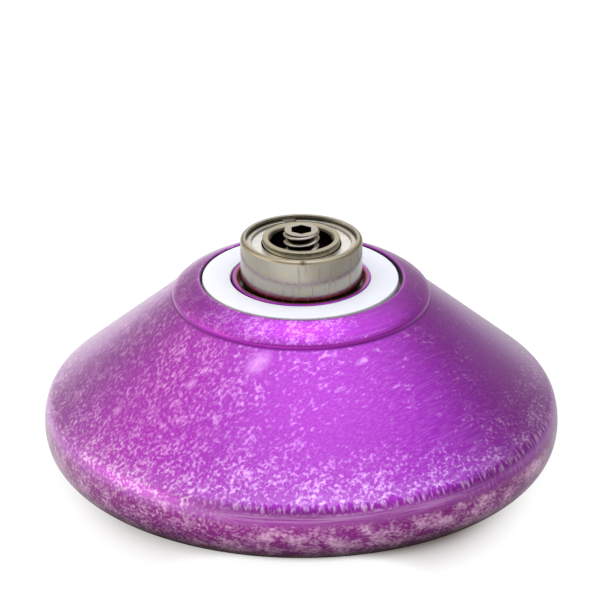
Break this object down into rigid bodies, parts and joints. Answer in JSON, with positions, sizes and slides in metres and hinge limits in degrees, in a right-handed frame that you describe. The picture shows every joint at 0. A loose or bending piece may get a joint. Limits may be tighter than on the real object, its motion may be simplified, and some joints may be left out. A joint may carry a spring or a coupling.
{
  "type": "yo-yo half",
  "caption": "Half of a metal yo-yo with a sloped flank, cupped rim, silicone response ring, shielded ball bearing and threaded axle.",
  "frame": {"origin": "on the axis of the yo-yo, in the plane of the rim's land, which rests on the table", "axes": "+Z along the axle, from the cup towards the bearing"},
  "size_m": [0.0544, 0.0544, 0.025],
  "materials": {
    "anodised_shell": "satin purple anodising with a pale splash",
    "pad_silicone": "matte white cast silicone",
    "axle_steel": "bright plated",
    "race_steel": "ground and polished",
    "shield_steel": "stamped, satin",
    "clip_steel": "drawn wire",
    "cage_steel": "stamped",
    "ball_steel": "lapped"
  },
  "bodies": {
    "half": {"half_shell": "anodised_shell", "response_pad": "pad_silicone"},
    "axle": {"axle": "axle_steel"},
    "bearing_core": {"bearing_inner_race": "race_steel"},
    "bearing_outer": {"bearing_outer_race": "race_steel", "upper_shield": "shield_steel", "lower_shield": "shield_steel", "upper_shield_clip": "clip_steel", "lower_shield_clip": "clip_steel"},
    "ball_cage": {"bearing_cage": "cage_steel"},
    "ball_01": {"bearing_ball_01": "ball_steel"},
    "ball_02": {"bearing_ball_02": "ball_steel"},
    "ball_03": {"bearing_ball_03": "ball_steel"},
    "ball_04": {"bearing_ball_04": "ball_steel"},
    "ball_05": {"bearing_ball_05": "ball_steel"},
    "ball_06": {"bearing_ball_06": "ball_steel"},
    "ball_07": {"bearing_ball_07": "ball_steel"},
    "ball_08": {"bearing_ball_08": "ball_steel"},
    "ball_09": {"bearing_ball_09": "ball_steel"},
    "ball_10": {"bearing_ball_10": "ball_steel"}
  },
  "joints": [
    {"name": "axle_unscrew", "type": "slide", "parent": "half", "child": "axle", "axis": [0, 0, 1], "range_m": [0, 0.0086]},
    {"name": "bearing_lift", "type": "slide", "parent": "half", "child": "bearing_core", "axis": [0, 0, 1], "range_m": [0, 0.006]},
    {"name": "outer_spin", "type": "hinge", "parent": "bearing_core", "child": "bearing_outer", "pos_m": [0, 0, 0.02178], "axis": [0, 0, 1], "continuous": true},
    {"name": "cage_orbit", "type": "hinge", "parent": "bearing_core", "child": "ball_cage", "pos_m": [0, 0, 0.02178], "axis": [0, 0, 1], "continuous": true},
    {"name": "ball_01_roll", "type": "hinge", "parent": "ball_cage", "child": "ball_01", "pos_m": [0.00476, 0, 0.02178], "axis": [0, 0, 1], "continuous": true},
    {"name": "ball_02_roll", "type": "hinge", "parent": "ball_cage", "child": "ball_02", "pos_m": [0.00385, 0.0028, 0.02178], "axis": [0, 0, 1], "continuous": true},
    {"name": "ball_03_roll", "type": "hinge", "parent": "ball_cage", "child": "ball_03", "pos_m": [0.00147, 0.00453, 0.02178], "axis": [0, 0, 1], "continuous": true},
    {"name": "ball_04_roll", "type": "hinge", "parent": "ball_cage", "child": "ball_04", "pos_m": [-0.00147, 0.00453, 0.02178], "axis": [0, 0, 1], "continuous": true},
    {"name": "ball_05_roll", "type": "hinge", "parent": "ball_cage", "child": "ball_05", "pos_m": [-0.00385, 0.0028, 0.02178], "axis": [0, 0, 1], "continuous": true},
    {"name": "ball_06_roll", "type": "hinge", "parent": "ball_cage", "child": "ball_06", "pos_m": [-0.00476, 0, 0.02178], "axis": [0, 0, 1], "continuous": true},
    {"name": "ball_07_roll", "type": "hinge", "parent": "ball_cage", "child": "ball_07", "pos_m": [-0.00385, -0.0028, 0.02178], "axis": [0, 0, 1], "continuous": true},
    {"name": "ball_08_roll", "type": "hinge", "parent": "ball_cage", "child": "ball_08", "pos_m": [-0.00147, -0.00453, 0.02178], "axis": [0, 0, 1], "continuous": true},
    {"name": "ball_09_roll", "type": "hinge", "parent": "ball_cage", "child": "ball_09", "pos_m": [0.00147, -0.00453, 0.02178], "axis": [0, 0, 1], "continuous": true},
    {"name": "ball_10_roll", "type": "hinge", "parent": "ball_cage", "child": "ball_10", "pos_m": [0.00385, -0.0028, 0.02178], "axis": [0, 0, 1], "continuous": true}
  ],
  "couplings": [
    {"joint": "cage_orbit", "follows": "outer_spin", "ratio": 0.60415},
    {"joint": "ball_01_roll", "follows": "outer_spin", "ratio": 2.2963},
    {"joint": "ball_02_roll", "follows": "outer_spin", "ratio": 2.2963},
    {"joint": "ball_03_roll", "follows": "outer_spin", "ratio": 2.2963},
    {"joint": "ball_04_roll", "follows": "outer_spin", "ratio": 2.2963},
    {"joint": "ball_05_roll", "follows": "outer_spin", "ratio": 2.2963},
    {"joint": "ball_06_roll", "follows": "outer_spin", "ratio": 2.2963},
    {"joint": "ball_07_roll", "follows": "outer_spin", "ratio": 2.2963},
    {"joint": "ball_08_roll", "follows": "outer_spin", "ratio": 2.2963},
    {"joint": "ball_09_roll", "follows": "outer_spin", "ratio": 2.2963},
    {"joint": "ball_10_roll", "follows": "outer_spin", "ratio": 2.2963}
  ]
}
